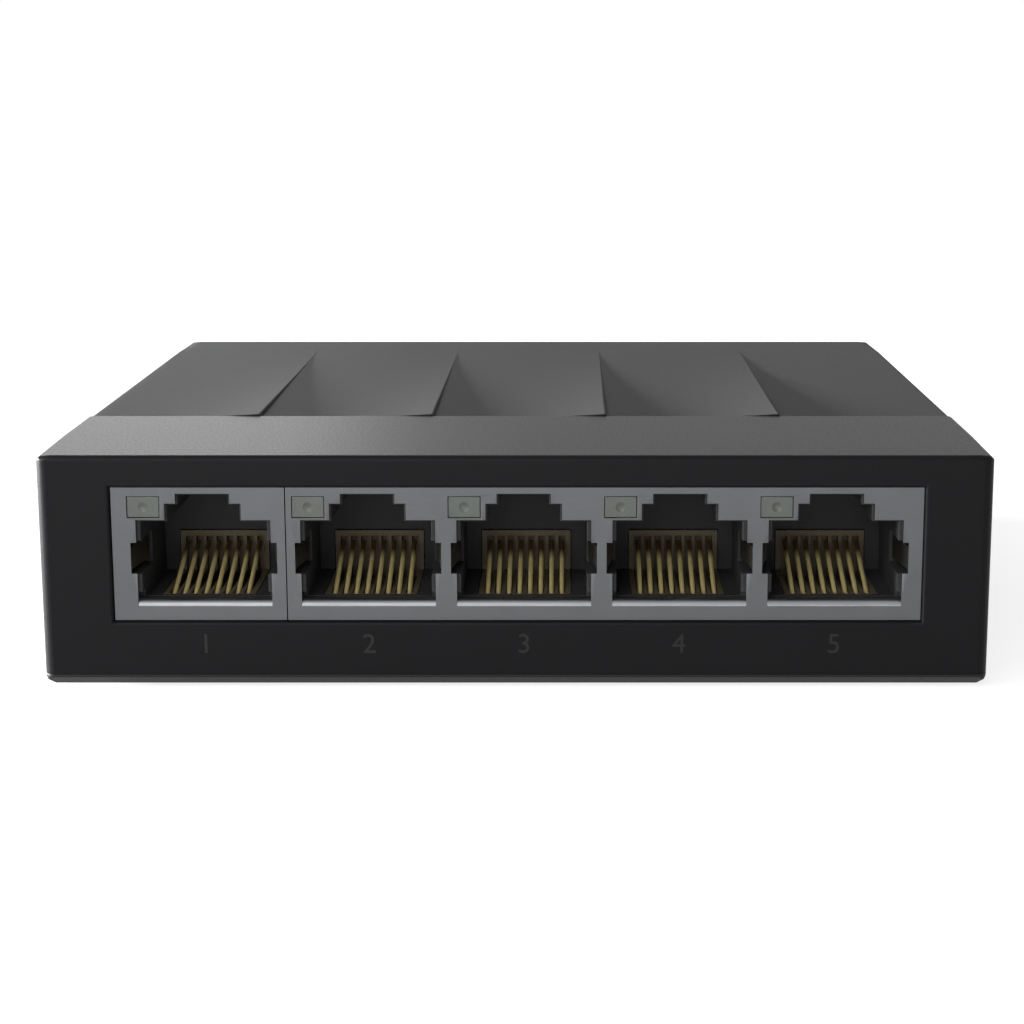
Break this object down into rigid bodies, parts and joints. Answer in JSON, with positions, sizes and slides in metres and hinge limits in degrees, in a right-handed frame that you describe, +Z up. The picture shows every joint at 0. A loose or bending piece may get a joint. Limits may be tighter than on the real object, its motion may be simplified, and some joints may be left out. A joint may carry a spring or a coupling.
{
  "type": "desktop network switch",
  "caption": "Flat black moulded desktop network switch with a row of shielded modular jacks in its front wall, a folded strip pattern on top and a power inlet at the rear.",
  "frame": {"origin": "on the desk under the middle of the case", "axes": "+X to the right seen from the front, +Y to the rear, +Z up"},
  "size_m": [0.09, 0.072, 0.0231],
  "materials": {
    "case_plastic": "fine spark-textured black moulding",
    "screw_steel": "zinc-plated",
    "foot_rubber": "matt",
    "board_laminate": "green solder mask",
    "shield_steel": "dull tin-plated sheet",
    "jack_plastic": "moulded, matt black",
    "contact_gilt": "gold-plated wire",
    "led_lens": "milky lens",
    "chip_plastic": "moulded epoxy",
    "tin_plate": "tin-plated",
    "pad_silicone": "soft grey pad",
    "sink_aluminium": "extruded or drawn",
    "ferrite": "sintered ferrite",
    "ceramic": "fired ceramic"
  },
  "bodies": {
    "case": {"top_cover": "case_plastic", "bottom_cover": "case_plastic", "case_screws": "screw_steel", "foot_front_left": "foot_rubber", "foot_front_right": "foot_rubber", "foot_rear_left": "foot_rubber", "foot_rear_right": "foot_rubber", "circuit_board": "board_laminate", "single_jack_shield": "shield_steel", "gang_jack_shield": "shield_steel", "jack_housing_1": "jack_plastic", "contact_comb_1": "jack_plastic", "contact_leads_1": "contact_gilt", "port_led_1": "led_lens", "line_transformer_1": "chip_plastic", "jack_housing_2": "jack_plastic", "contact_comb_2": "jack_plastic", "contact_leads_2": "contact_gilt", "port_led_2": "led_lens", "line_transformer_2": "chip_plastic", "jack_housing_3": "jack_plastic", "contact_comb_3": "jack_plastic", "contact_leads_3": "contact_gilt", "port_led_3": "led_lens", "line_transformer_3": "chip_plastic", "jack_housing_4": "jack_plastic", "contact_comb_4": "jack_plastic", "contact_leads_4": "contact_gilt", "port_led_4": "led_lens", "line_transformer_4": "chip_plastic", "jack_housing_5": "jack_plastic", "contact_comb_5": "jack_plastic", "contact_leads_5": "contact_gilt", "port_led_5": "led_lens", "line_transformer_5": "chip_plastic", "inlet_body": "jack_plastic", "inlet_pin": "tin_plate", "inlet_terminals": "tin_plate", "switch_chip_leads": "tin_plate", "crystal_can": "tin_plate", "switch_chip": "chip_plastic", "memory_chip": "chip_plastic", "regulator_chip": "chip_plastic", "input_diode": "chip_plastic", "chip_resistors": "chip_plastic", "thermal_pad": "pad_silicone", "heat_sink": "sink_aluminium", "bulk_capacitor_1": "sink_aluminium", "bulk_capacitor_2": "sink_aluminium", "power_inductor": "ferrite", "chip_capacitors": "ceramic"},
    "port_1_contacts": {"contact_springs_1": "contact_gilt"},
    "port_2_contacts": {"contact_springs_2": "contact_gilt"},
    "port_3_contacts": {"contact_springs_3": "contact_gilt"},
    "port_4_contacts": {"contact_springs_4": "contact_gilt"},
    "port_5_contacts": {"contact_springs_5": "contact_gilt"},
    "inlet_contact": {"inlet_spring": "tin_plate"}
  },
  "joints": [
    {"name": "port_1_contact_bend", "type": "hinge", "parent": "case", "child": "port_1_contacts", "pos_m": [-0.0294, -0.03285, 0.0084], "axis": [-1, 0, 0], "range_deg": [0, 14], "stiffness_Nm_per_rad": 0.3},
    {"name": "port_2_contact_bend", "type": "hinge", "parent": "case", "child": "port_2_contacts", "pos_m": [-0.0139, -0.03285, 0.0084], "axis": [-1, 0, 0], "range_deg": [0, 14], "stiffness_Nm_per_rad": 0.3},
    {"name": "port_3_contact_bend", "type": "hinge", "parent": "case", "child": "port_3_contacts", "pos_m": [0.0008, -0.03285, 0.0084], "axis": [-1, 0, 0], "range_deg": [0, 14], "stiffness_Nm_per_rad": 0.3},
    {"name": "port_4_contact_bend", "type": "hinge", "parent": "case", "child": "port_4_contacts", "pos_m": [0.0155, -0.03285, 0.0084], "axis": [-1, 0, 0], "range_deg": [0, 14], "stiffness_Nm_per_rad": 0.3},
    {"name": "port_5_contact_bend", "type": "hinge", "parent": "case", "child": "port_5_contacts", "pos_m": [0.0302, -0.03285, 0.0084], "axis": [-1, 0, 0], "range_deg": [0, 14], "stiffness_Nm_per_rad": 0.3},
    {"name": "inlet_contact_bend", "type": "hinge", "parent": "case", "child": "inlet_contact", "pos_m": [-0.027, 0.0242, 0.0087], "axis": [-1, 0, 0], "range_deg": [0, 5], "stiffness_Nm_per_rad": 0.6}
  ]
}
